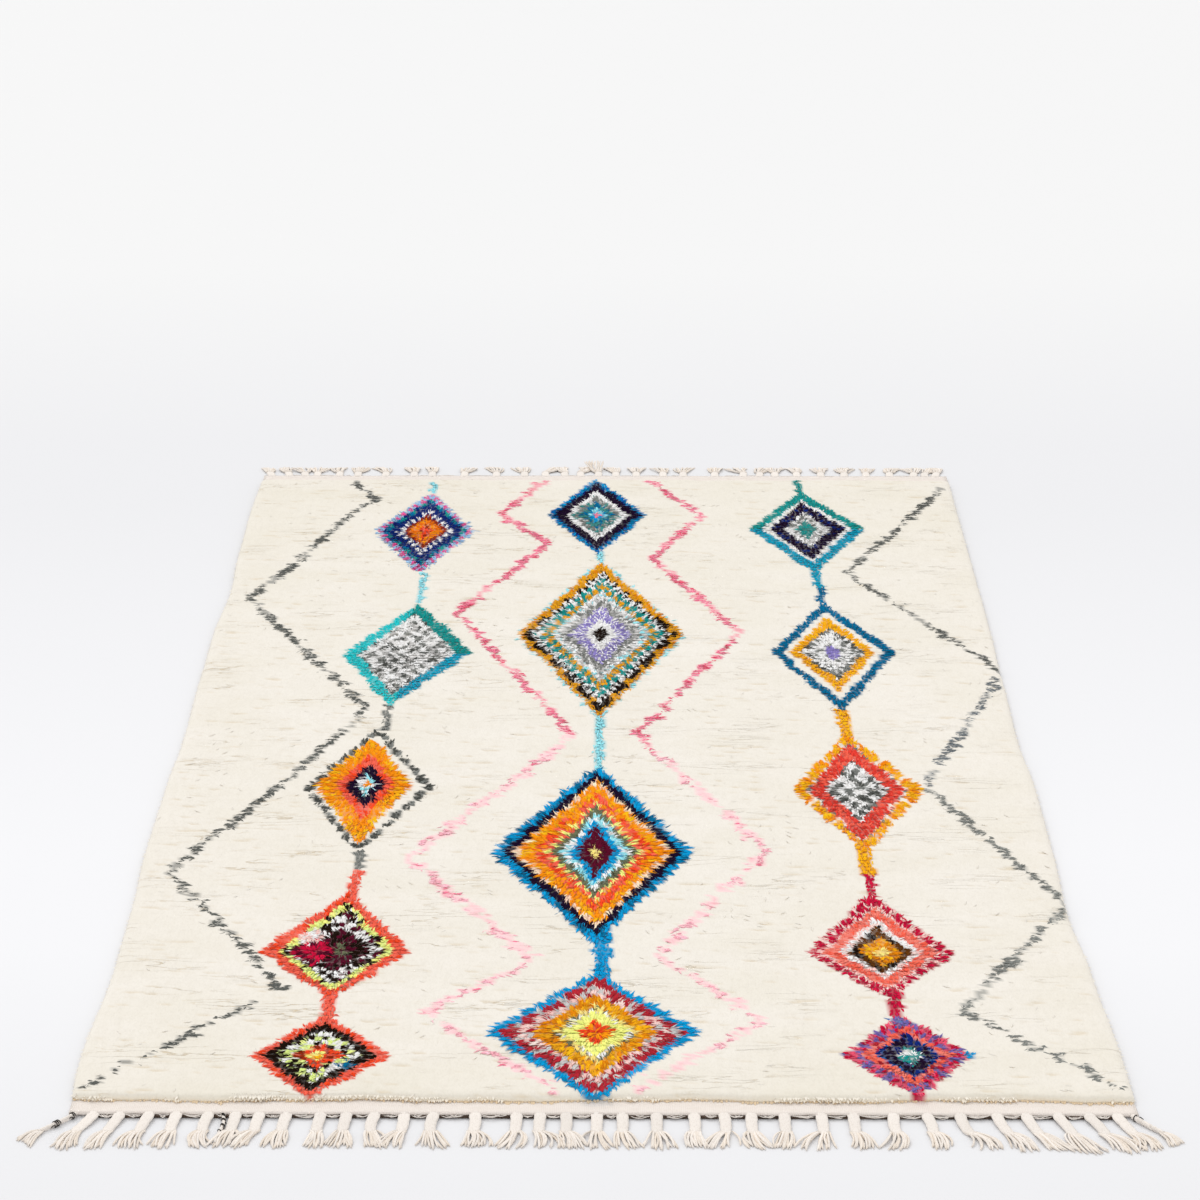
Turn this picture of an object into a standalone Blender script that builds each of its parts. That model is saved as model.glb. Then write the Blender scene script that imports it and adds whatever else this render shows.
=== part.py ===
"""A hand-knotted wool rug, lying flat on the floor.

The rug itself is one woven piece: a deep pile field with a narrow flat-woven band at each end. Beyond each
band the warp ends are gathered into flat plaits that end in loose tassels, which make one comb. At each front
corner the edge warps are bound into a short cord.

X runs across the rug, +Y to its far end and +Z up from the floor. The origin is on the floor, at the middle
of the rug with its fringes.
"""

import math

import bmesh
import bpy

# Driving sizes, in metres
PILE_FRONT = -1.537  # where the pile ends above the front band
PILE_BACK = 1.563
PILE_TOP = 0.020  # floor to the tips of the tufts
BAND_DEPTH = 0.045  # flat-woven band, from the pile to its free edge
BAND_THICK = 0.0045
BAND_LIFT = 0.004  # the plaits hold the band's free edge this far off the floor
BAND_HALF_WAY_LIFT = 0.001  # and its middle this far
SEAM = 0.0003  # clearance between pieces
SOFT_EDGE = math.radians(35)  # edges that bend less than this are shaded smooth

PLAIT_WIDTH = 0.022
HEADER_DEPTH = 0.005  # twined edge that the plaits start from
FRONT_REACH = 0.098  # header to tassel tips along Y, over most of the front
BACK_REACH = 0.0844
TASSEL_WIDTH = 0.040
TASSEL_GAP = 0.004  # between neighbouring tassels, where the plaits stand close
PLAIT_UPTO = 0.5  # share of the reach where the plait ends and its tassel begins

CORD_RADIUS = 0.0052
CORD_INSET = 0.014  # from the band's corner to the cord's middle
CORD_TURN = math.radians(40)  # the cord's sections are turned to face the way it runs

# The rug's uneven sides: place along the rug, left edge, right edge
SIDES = (
    (-1.60, -0.972, 0.973),
    (-1.40, -0.980, 0.972),
    (-1.10, -0.968, 0.962),
    (-0.87, -0.970, 0.949),
    (-0.60, -0.979, 0.957),
    (-0.30, -0.978, 0.960),
    (-0.10, -0.972, 0.952),
    (0.25, -0.977, 0.958),
    (0.52, -0.979, 0.964),
    (0.77, -0.969, 0.967),
    (1.03, -0.978, 0.969),
    (1.32, -0.982, 0.971),
    (1.62, -0.977, 0.974),
)

# The soft side of the pile, from the floor up: how far in from the edge, share of the height
PILE_SIDE = (
    (0.007, 0.00),
    (0.001, 0.30),
    (0.000, 0.55),
    (0.004, 0.82),
    (0.014, 1.00),
)
BAND_SIDE = 0.15  # the band's side is nearly square: this share of the pile's insets

TOP_STEPS = 16  # facets across the top
PILE_ROWS = 40  # facets along the pile

# The pile's ends roll over onto the bands: how far in from the end, height of the surface
PILE_END = (
    (-0.0005, BAND_THICK + 0.0002),
    (0.0000, 0.0110),
    (0.0035, 0.0172),
    (0.0140, PILE_TOP),
)
END_WAVES = ((0.0030, 11.0, 0.4), (0.0018, 31.0, 2.1))  # swing, waves per metre, start

# Fringe: place of the first plait, then the distances from plait to plait in millimetres
FRONT_FIRST = -0.926
FRONT_PITCHES = (
    (48, 53, 50, 58, 50, 43, 49, 62, 47, 51, 54)
    + (53, 76, 75, 43, 47, 56, 46, 62, 68, 55, 49)
    + (60, 67, 58, 73, 61, 60, 67, 53, 58, 56, 51)
)
BACK_FIRST = -0.955
BACK_PITCHES = (
    (50, 46, 34, 63, 52, 80, 82, 52, 91, 92, 80)
    + (62, 55, 45, 49, 51, 58, 77, 57, 91, 80)
    + (46, 46, 62, 69, 66, 63, 68, 66, 34, 29)
)

# How the plaits splay: place across the rug, sideways run for each metre outward
FRONT_SPLAY = ((-0.93, -0.58), (-0.87, -0.36), (-0.77, -0.12), (0.50, 0.04), (0.72, 0.36), (0.94, 0.48))
BACK_SPLAY = ((-0.96, -0.30), (-0.80, -0.06), (0.80, 0.06), (0.95, 0.22))

# How far the tips reach: place across the rug, share of the usual reach
FRONT_REACHES = ((-0.93, 1.04), (-0.60, 0.98), (0.00, 1.00), (0.60, 1.02), (0.88, 1.13), (0.94, 1.04))
BACK_REACHES = ((-0.96, 0.94), (-0.30, 1.00), (-0.02, 1.004), (0.30, 0.98), (0.95, 0.95))

# A plait and its tassel: share of the reach, share of the full width, underside, top
PLAIT_SECTIONS = (
    (0.16, 0.55, 0.0030, 0.0080),
    (0.34, 0.55, 0.0003, 0.0054),
    (0.43, 0.46, 0.0000, 0.0058),
    (0.52, 0.55, 0.0000, 0.0078),
    (0.74, 0.82, 0.0000, 0.0074),
    (1.00, 1.00, 0.0000, 0.0034),
)

# A corner cord, bound near the band and loose beyond: sideways, outward, height of its middle, width and
# height as shares of the bound cord's
CORD_STATIONS = (
    (0.000, 0.0000, 0.0062, 1.00, 1.00),
    (0.012, 0.0160, 0.0060, 1.00, 1.00),
    (0.028, 0.0340, 0.0052, 0.95, 0.95),
    (0.042, 0.0480, 0.0046, 0.80, 0.80),
    (0.056, 0.0640, 0.0044, 1.30, 0.80),
    (0.066, 0.0860, 0.0021, 2.00, 0.45),
)
CORD_SIDES = 8
TIP_X = 1.035  # how far out the corner tassels reach


def between(table, place, column=1):
    """The column's value at a place, eased between the rows of a table sorted by its first column."""
    if place <= table[0][0]:
        return table[0][column]
    for low, high in zip(table, table[1:]):
        if place <= high[0]:
            share = (place - low[0]) / (high[0] - low[0])
            eased = (1 - math.cos(math.pi * share)) / 2
            return low[column] + (high[column] - low[column]) * eased
    return table[-1][column]


def finish(name, colour, roughness):
    material = bpy.data.materials.new(name)
    material.use_nodes = True
    shader = material.node_tree.nodes["Principled BSDF"]
    shader.inputs["Base Color"].default_value = (*colour, 1)
    shader.inputs["Roughness"].default_value = roughness
    shader.inputs["Metallic"].default_value = 0
    return material


def add_piece(name, bm, material):
    """The bmesh as an object, its faces turned outward and its soft edges shaded smooth."""
    bmesh.ops.recalc_face_normals(bm, faces=bm.faces)
    mesh = bpy.data.meshes.new(name)
    bm.to_mesh(mesh)
    bm.free()
    mesh.materials.append(material)
    mesh.shade_smooth()
    mesh.set_sharp_from_angle(angle=SOFT_EDGE)
    piece = bpy.data.objects.new(name, mesh)
    bpy.context.scene.collection.objects.link(piece)
    return piece


def new_ring(bm, points):
    return [bm.verts.new(point) for point in points]


def grow(bm, ring, points):
    """Carries the skin on from a ring of vertices to a ring at new points, which it returns."""
    after = new_ring(bm, points)
    for i, vertex in enumerate(ring):
        bm.faces.new((ring[i - 1], vertex, after[i], after[i - 1]))
    return after


def rug_section(place, under, top, inset_share, wave_share):
    """The ring round the rug at one place along it. The ends of the pile wander a little across the rug."""
    left = between(SIDES, place, 1)
    right = between(SIDES, place, 2)
    climb = [(inset * inset_share, under + (top - under) * share) for inset, share in PILE_SIDE]
    ring = [(left + inset, z) for inset, z in climb]
    start = left + climb[-1][0]
    end = right - climb[-1][0]
    ring += [(start + (end - start) * i / TOP_STEPS, top) for i in range(1, TOP_STEPS)]
    ring += [(right - inset, z) for inset, z in reversed(climb)]
    points = []
    for x, z in ring:
        wave = sum(swing * math.sin(waves * x + begin) for swing, waves, begin in END_WAVES)
        points.append((x, place + wave * wave_share, z))
    return points


def end_sections(pile_end, outward):
    """The rug's sections from a band's free edge up to the pile. outward is -1 at the front and 1 behind."""
    free_edge = pile_end + outward * BAND_DEPTH
    half_way = pile_end + outward * BAND_DEPTH / 2
    yield rug_section(free_edge, BAND_LIFT, BAND_LIFT + BAND_THICK, BAND_SIDE, 0)
    yield rug_section(half_way, BAND_HALF_WAY_LIFT, BAND_HALF_WAY_LIFT + BAND_THICK, BAND_SIDE, 0)
    for inward, height in PILE_END:
        inset_share = BAND_SIDE if inward < 0 else 1
        yield rug_section(pile_end - outward * inward, 0, height, inset_share, 1)


def make_rug(material):
    """The woven piece: band, pile and band, skinned from one free edge to the other."""
    first = PILE_FRONT + 2 * PILE_END[-1][0]
    last = PILE_BACK - 2 * PILE_END[-1][0]
    sections = list(end_sections(PILE_FRONT, -1))
    for row in range(PILE_ROWS + 1):
        place = first + (last - first) * row / PILE_ROWS
        sections.append(rug_section(place, 0, PILE_TOP, 1, 0))
    sections += reversed(list(end_sections(PILE_BACK, 1)))

    bm = bmesh.new()
    start = new_ring(bm, sections[0])
    ring = start
    for points in sections[1:]:
        ring = grow(bm, ring, points)
    bm.faces.new(start)
    bm.faces.new(ring)
    return add_piece("rug", bm, material)


def plait_roots(first, pitches):
    roots = [first]
    for pitch in pitches:
        roots.append(roots[-1] + pitch / 1000)
    return roots


def plait_section(root, outward, edge, reach, splay, width, section):
    """Four corners across a plait or its tassel, in the order left under, left top, right top, right under."""
    share, width_share, under, top = section
    x = root + splay * reach * share
    y = edge + outward * reach * share
    half = width * width_share / 2
    return [(x - half, y, under), (x - half, y, top), (x + half, y, top), (x + half, y, under)]


def make_fringe(name, band_edge, outward, roots, usual_reach, splays, reaches, material):
    """A comb: a thin header along the band, and a tapering tooth for each plait with its tassel."""
    near = band_edge + outward * SEAM
    far = near + outward * HEADER_DEPTH
    low = BAND_LIFT + SEAM
    high = BAND_LIFT + BAND_THICK - SEAM
    bm = bmesh.new()
    header = None
    for number, root in enumerate(roots):
        pair = []
        for side in (-1, 1):
            x = root + side * PLAIT_WIDTH / 2
            corners = [(x, near, low), (x, near, high), (x, far, high), (x, far, low)]
            # Only the gaps between plaits close the header's outer side
            if header is None:
                header = new_ring(bm, corners)
                bm.faces.new(header)
            elif side == -1:
                header = grow(bm, header, corners)
            else:
                after = new_ring(bm, corners)
                for i in (0, 1, 2):
                    bm.faces.new((header[i - 1], header[i], after[i], after[i - 1]))
                header = after
            pair.append(header)
        ring = [pair[0][3], pair[0][2], pair[1][2], pair[1][3]]
        pitches = [abs(root - other) for other in roots[max(0, number - 1) : number + 2] if other != root]
        width = min(TASSEL_WIDTH, min(pitches) - TASSEL_GAP)
        reach = usual_reach * between(reaches, root)
        splay = between(splays, root)
        for section in PLAIT_SECTIONS:
            share, width_share, under, top = section
            if share < PLAIT_UPTO:
                section = (share, width_share * TASSEL_WIDTH / width, under, top)
            ring = grow(bm, ring, plait_section(root, outward, far, reach, splay, width, section))
        bm.faces.new(ring)
    bm.faces.new(header)
    return add_piece(name, bm, material)


def make_corner_cord(name, side, material):
    """The bound cord at a front corner, running out over the floor to its tassel. side is -1 left, 1 right."""
    edge = PILE_FRONT - BAND_DEPTH
    start = between(SIDES, edge, 1 if side < 0 else 2) - side * CORD_INSET
    # The table's sideways steps are stretched so that the tassel reaches its stated place
    last_x, last_wide = CORD_STATIONS[-1][0], CORD_STATIONS[-1][3]
    stretch = (TIP_X - abs(start) - last_wide * CORD_RADIUS * math.cos(CORD_TURN)) / last_x
    bm = bmesh.new()
    ring = None
    for sideways, outward, middle, wide, tall in CORD_STATIONS:
        turn = 0 if ring is None else side * CORD_TURN
        points = []
        for i in range(CORD_SIDES):
            angle = 2 * math.pi * (i + 0.5) / CORD_SIDES
            across = CORD_RADIUS * wide * math.cos(angle) / math.cos(math.pi / CORD_SIDES)
            x = start + side * sideways * stretch + across * math.cos(turn)
            y = edge - SEAM - outward + across * math.sin(turn)
            z = middle + CORD_RADIUS * tall * math.sin(angle)
            points.append((x, y, max(z, 0)))
        if ring is None:
            ring = new_ring(bm, points)
            bm.faces.new(ring)
        else:
            ring = grow(bm, ring, points)
    bm.faces.new(ring)
    return add_piece(name, bm, material)


def main():
    for thing in list(bpy.data.objects):
        bpy.data.objects.remove(thing, do_unlink=True)

    wool = finish("cream wool pile", (0.87, 0.83, 0.75), 0.95)
    cotton = finish("natural cotton plaits", (0.83, 0.77, 0.71), 0.9)
    bound = finish("cotton bound with dark thread", (0.72, 0.67, 0.61), 0.9)

    make_rug(wool)
    make_fringe(
        "fringe_front",
        PILE_FRONT - BAND_DEPTH,
        -1,
        plait_roots(FRONT_FIRST, FRONT_PITCHES),
        FRONT_REACH,
        FRONT_SPLAY,
        FRONT_REACHES,
        cotton,
    )
    make_fringe(
        "fringe_back",
        PILE_BACK + BAND_DEPTH,
        1,
        plait_roots(BACK_FIRST, BACK_PITCHES),
        BACK_REACH,
        BACK_SPLAY,
        BACK_REACHES,
        cotton,
    )
    make_corner_cord("corner_cord_left", -1, bound)
    make_corner_cord("corner_cord_right", 1, bound)


main()
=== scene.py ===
import math

import bpy
import numpy as np
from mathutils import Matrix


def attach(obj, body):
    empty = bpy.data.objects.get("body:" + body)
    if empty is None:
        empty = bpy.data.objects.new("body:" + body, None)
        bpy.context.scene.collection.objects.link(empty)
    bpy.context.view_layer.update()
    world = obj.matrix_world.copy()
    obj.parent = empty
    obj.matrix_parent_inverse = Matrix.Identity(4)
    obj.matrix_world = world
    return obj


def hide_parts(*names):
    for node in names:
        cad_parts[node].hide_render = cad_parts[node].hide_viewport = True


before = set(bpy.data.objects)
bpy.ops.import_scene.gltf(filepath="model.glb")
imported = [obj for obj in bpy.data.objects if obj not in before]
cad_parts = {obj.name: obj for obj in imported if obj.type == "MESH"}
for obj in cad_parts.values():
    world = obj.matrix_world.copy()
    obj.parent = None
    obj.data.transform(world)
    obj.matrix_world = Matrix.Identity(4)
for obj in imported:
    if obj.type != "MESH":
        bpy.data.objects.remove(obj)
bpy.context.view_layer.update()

# --- Ground weave -----------------------------------------------------------------------------------------
# One cloth of cotton warps and wool wefts that carries every knot. It shows only as the plain-woven band
# beyond the pile at each end, where the plaits hold its free edge a little off the floor.
PILE_FRONT = -1.537
PILE_BACK = 1.563
BAND_DEPTH = 0.045
BAND_THICK = 0.0045
BAND_LIFT = 0.004
BAND_INSET = 0.0012
HIDDEN_INSET = 0.0095  # under the pile, which hangs over the sides
HIDDEN_FROM = 0.010  # in from the pile's end
WEAVE_COLUMNS = 130
WEAVE_ROWS = 30
WEFT_PITCH = 0.0024
WARP_PITCH = 0.0034
SIDES = (
    (-1.60, -0.972, 0.973),
    (-1.40, -0.980, 0.972),
    (-1.10, -0.968, 0.962),
    (-0.87, -0.970, 0.949),
    (-0.60, -0.979, 0.957),
    (-0.30, -0.978, 0.960),
    (-0.10, -0.972, 0.952),
    (0.25, -0.977, 0.958),
    (0.52, -0.979, 0.964),
    (0.77, -0.969, 0.967),
    (1.03, -0.978, 0.969),
    (1.32, -0.982, 0.971),
    (1.62, -0.977, 0.974),
)  # place along the rug, left edge, right edge


def between(table, place, column=1):
    """The column's value at each place, eased between the rows of a table sorted by its first column."""
    rows = np.array(table)
    place = np.clip(place, rows[0, 0], rows[-1, 0])
    row = np.clip(np.searchsorted(rows[:, 0], place) - 1, 0, len(rows) - 2)
    share = (place - rows[row, 0]) / (rows[row + 1, 0] - rows[row, 0])
    eased = (1 - np.cos(np.pi * share)) / 2
    return rows[row, column] + (rows[row + 1, column] - rows[row, column]) * eased


def linear(red, green, blue):
    """A colour as the eye reads it, 0 to 255, in the linear light that a shader takes."""
    shares = np.array([red, green, blue]) / 255
    return np.where(shares <= 0.04045, shares / 12.92, ((shares + 0.055) / 1.055) ** 2.4)


def waves(x, y, across, along, seed, count=32):
    """Soft noise about 0, between about -2 and 2, with swellings of about these sizes."""
    draw = np.random.default_rng(seed)
    turns = draw.normal(0, 0.5, (count, 2)) / (across, along)
    starts = draw.uniform(0, 2 * np.pi, count)
    total = np.zeros(np.shape(x))
    for (turn_x, turn_y), start in zip(turns, starts):
        total += np.sin(2 * np.pi * (turn_x * x + turn_y * y) + start)
    return total / math.sqrt(count / 2)


def add_piece(name, parts, material, stands_for=None, smooth=True):
    """One mesh from parts, each its points, their colours and its faces as arrays of equal-sided faces."""
    points = np.concatenate([part[0] for part in parts])
    colours = np.concatenate([np.broadcast_to(part[1], part[0].shape) for part in parts])
    corners, sizes, before = [], [], 0
    for part_points, _, face_arrays in parts:
        for faces in face_arrays:
            faces = np.asarray(faces)
            corners.append((faces + before).ravel())
            sizes.append(np.full(len(faces), faces.shape[1]))
        before += len(part_points)
    corners = np.concatenate(corners)
    sizes = np.concatenate(sizes)
    mesh = bpy.data.meshes.new(name)
    mesh.vertices.add(len(points))
    mesh.vertices.foreach_set("co", points.astype(np.float32).ravel())
    mesh.loops.add(len(corners))
    mesh.loops.foreach_set("vertex_index", corners.astype(np.int32))
    mesh.polygons.add(len(sizes))
    mesh.polygons.foreach_set("loop_start", (np.cumsum(sizes) - sizes).astype(np.int32))
    mesh.update(calc_edges=True)
    if smooth:
        mesh.shade_smooth()
    else:
        mesh.shade_flat()
    # Each point's colour: its wool's dye, with painted shade and painted light where the pieces add them
    dye_and_painted_light = np.column_stack([np.clip(colours, 0, 0.95), np.ones(len(points))])
    layer = mesh.attributes.new("dye_and_painted_light", "FLOAT_COLOR", "POINT")
    layer.data.foreach_set("color", dye_and_painted_light.astype(np.float32).ravel())
    mesh.materials.append(material)
    piece = bpy.data.objects.new(name, mesh)
    bpy.context.scene.collection.objects.link(piece)
    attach(piece, "root")
    if stands_for:
        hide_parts(stands_for)
    return piece


def new_material(name, roughness, sheen):
    """A matt fibre that takes its colour from the mesh. Its node tree is for the caller to build on."""
    material = bpy.data.materials.new(name)
    material.use_nodes = True
    tree = material.node_tree
    shader = tree.nodes["Principled BSDF"]
    shader.inputs["Roughness"].default_value = roughness
    shader.inputs["Specular IOR Level"].default_value = 0.05
    shader.inputs["Sheen Weight"].default_value = sheen
    shader.inputs["Sheen Roughness"].default_value = 0.6
    dye_and_painted_light = tree.nodes.new("ShaderNodeAttribute")
    dye_and_painted_light.attribute_name = "dye_and_painted_light"
    place = tree.nodes.new("ShaderNodeTexCoord")
    return material, tree, shader, dye_and_painted_light, place


def noise(tree, place, scale, stretch=(1, 1, 1), detail=2.0):
    """Noise with this many swellings to the metre, times the stretch along each axis."""
    mapping = tree.nodes.new("ShaderNodeMapping")
    mapping.inputs["Scale"].default_value = stretch
    tree.links.new(place.outputs["Object"], mapping.inputs["Vector"])
    texture = tree.nodes.new("ShaderNodeTexNoise")
    texture.inputs["Scale"].default_value = scale
    texture.inputs["Detail"].default_value = detail
    tree.links.new(mapping.outputs["Vector"], texture.inputs["Vector"])
    return texture.outputs["Fac"]


def spread(tree, value, low, high, to_low=0.0, to_high=1.0):
    """The value mapped from one range to another, held at its ends."""
    ramp = tree.nodes.new("ShaderNodeMapRange")
    ramp.inputs["From Min"].default_value = low
    ramp.inputs["From Max"].default_value = high
    ramp.inputs["To Min"].default_value = to_low
    ramp.inputs["To Max"].default_value = to_high
    tree.links.new(value, ramp.inputs["Value"])
    return ramp.outputs["Result"]


def maths(tree, operation, first, second):
    """A Math node between a value and a value or a number."""
    node = tree.nodes.new("ShaderNodeMath")
    node.operation = operation
    tree.links.new(first, node.inputs[0])
    if isinstance(second, float):
        node.inputs[1].default_value = second
    else:
        tree.links.new(second, node.inputs[1])
    return node.outputs[0]


def tinted(tree, colour, factor, other):
    """The colour mixed towards another by a factor."""
    mix = tree.nodes.new("ShaderNodeMix")
    mix.data_type = "RGBA"
    tree.links.new(factor, mix.inputs["Factor"])
    tree.links.new(colour, mix.inputs["A"])
    mix.inputs["B"].default_value = (*other, 1)
    return mix.outputs["Result"]


def raised(tree, shader, height, depth):
    """Bump on the shader: height 0 to 1 stands for this depth in metres."""
    bump = tree.nodes.new("ShaderNodeBump")
    bump.inputs["Strength"].default_value = 1.0
    bump.inputs["Distance"].default_value = depth
    tree.links.new(height, bump.inputs["Height"])
    tree.links.new(bump.outputs["Normal"], shader.inputs["Normal"])


def plain_weave():
    """Wefts packed over thin warps: fine ribs across the rug that break at each warp."""
    material, tree, shader, dye_and_painted_light, place = new_material("plain-woven band", 0.9, 0.15)
    ribs = []
    for axis, pitch in (("Y", WEFT_PITCH), ("X", WARP_PITCH)):
        rib = tree.nodes.new("ShaderNodeTexWave")
        rib.bands_direction = axis
        rib.inputs["Scale"].default_value = math.pi / 10 / pitch
        rib.inputs["Distortion"].default_value = 1.0
        rib.inputs["Detail"].default_value = 1.0
        tree.links.new(place.outputs["Object"], rib.inputs["Vector"])
        ribs.append(rib.outputs["Fac"])
    cloth = maths(tree, "MULTIPLY", ribs[0], ribs[1])
    blotch = noise(tree, place, 30, (1, 3, 1))
    blotch = spread(tree, blotch, 0.35, 0.75, 0, 0.25)
    colour = tinted(tree, dye_and_painted_light.outputs["Color"], blotch, linear(226, 212, 200))
    # Painted shade: the hollows between the ribs are darkened towards a grey brown
    weave_hollow_shade = spread(tree, cloth, 0.0, 0.3, 0.22, 0.0)
    colour = tinted(tree, colour, weave_hollow_shade, linear(188, 170, 156))
    tree.links.new(colour, shader.inputs["Base Color"])
    raised(tree, shader, cloth, 0.0006)
    return material


def ground_weave():
    """Skinned from one free edge to the other, in rings across the rug."""
    long = PILE_BACK - PILE_FRONT
    band = [(BAND_DEPTH * share, BAND_LIFT * share**1.5) for share in (0.25, 0.5, 0.75, 1)]
    rows = [(PILE_FRONT - beyond, lift, BAND_INSET) for beyond, lift in reversed(band)]
    rows += [(PILE_FRONT, 0.0, BAND_INSET), (PILE_FRONT + HIDDEN_FROM, 0.0, HIDDEN_INSET)]
    rows += [(PILE_FRONT + long * row / WEAVE_ROWS, 0.0, HIDDEN_INSET) for row in range(1, WEAVE_ROWS)]
    rows += [(PILE_BACK - HIDDEN_FROM, 0.0, HIDDEN_INSET), (PILE_BACK, 0.0, BAND_INSET)]
    rows += [(PILE_BACK + beyond, lift, BAND_INSET) for beyond, lift in band]
    rings = []
    for y, lift, inset in rows:
        left = between(SIDES, y, 1) + inset
        right = between(SIDES, y, 2) - inset
        x = np.linspace(left, right, WEAVE_COLUMNS + 1)
        on_band = lift > 0
        ripple = waves(x, y + 0 * x, 0.05, 0.02, 3) * 0.0003 * on_band
        sag = waves(x, 0 * x, 0.03, 1, 4) * 0.0007 * (lift >= BAND_LIFT * 0.9)
        under = np.column_stack([x, y + sag, lift + 0.0002 + np.maximum(ripple, 0)])
        over = np.column_stack([x, y + sag, lift + BAND_THICK + ripple])
        rings.append(np.concatenate([under, over[::-1]]))
    ring = len(rings[0])
    near = np.arange(ring)
    quads = []
    for row in range(len(rings) - 1):
        a = near + row * ring
        b = np.roll(near, -1) + row * ring
        quads.append(np.column_stack([a, b, b + ring, a + ring]))
    half = np.arange(WEAVE_COLUMNS)
    first = np.column_stack([half, ring - 1 - half, ring - 2 - half, half + 1])
    last = first[:, ::-1] + (len(rings) - 1) * ring
    faces = np.concatenate([*quads, first, last])
    part = (np.concatenate(rings), linear(243, 234, 226), [faces])
    return add_piece("ground_weave", [part], plain_weave(), "rug")


weave = ground_weave()

# --- Weaver's chart ---------------------------------------------------------------------------------------
# Dyed wools, and where each goes: three columns of nested lozenges hung on stems, between four zigzag lines.
# A lozenge is given by its tips and by its rings from the outline in, each with the wools that take turns.
DYES = {
    "cream": (234, 228, 218), "white": (244, 242, 240), "silver": (196, 194, 192),
    "grey": (128, 130, 126), "charcoal": (82, 84, 80), "slate": (112, 118, 122),
    "ash": (94, 96, 92), "rose": (242, 126, 152), "blush": (252, 197, 205),
    "petal": (249, 178, 190), "pink": (226, 84, 112), "sky": (4, 152, 208),
    "azure": (8, 106, 182), "navy": (12, 38, 112), "plum": (27, 9, 40),
    "peach": (254, 214, 186), "orange": (255, 146, 16), "amber": (255, 178, 24),
    "tangerine": (226, 112, 16), "coral": (250, 101, 80), "vermilion": (244, 74, 36),
    "scarlet": (223, 64, 52), "lemon": (246, 252, 136), "lime": (224, 243, 144),
    "olive": (106, 110, 84), "maroon": (88, 10, 38), "brick": (176, 40, 52),
    "crimson": (200, 18, 62), "mustard": (226, 160, 28), "soot": (29, 15, 7),
    "teal": (22, 148, 144), "turquoise": (38, 196, 200), "aqua": (150, 220, 230),
    "cyan": (18, 160, 190), "mist": (150, 188, 222), "petrol": (0, 107, 150),
    "lavender": (141, 128, 194), "violet": (114, 98, 166), "magenta": (222, 86, 150),
    "salmon": (252, 132, 116), "shell": (252, 205, 198), "umber": (96, 54, 14),
    "gold": (222, 134, 12), "straw": (252, 222, 130), "rust": (150, 46, 16),
    "seafoam": (66, 140, 136),
}
DYE_NAMES = list(DYES)
DYE_COLOURS = np.array([linear(*DYES[name]) for name in DYE_NAMES])
UNDYED = DYE_NAMES.index("cream")
CREAM = DYE_COLOURS[UNDYED]

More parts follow.
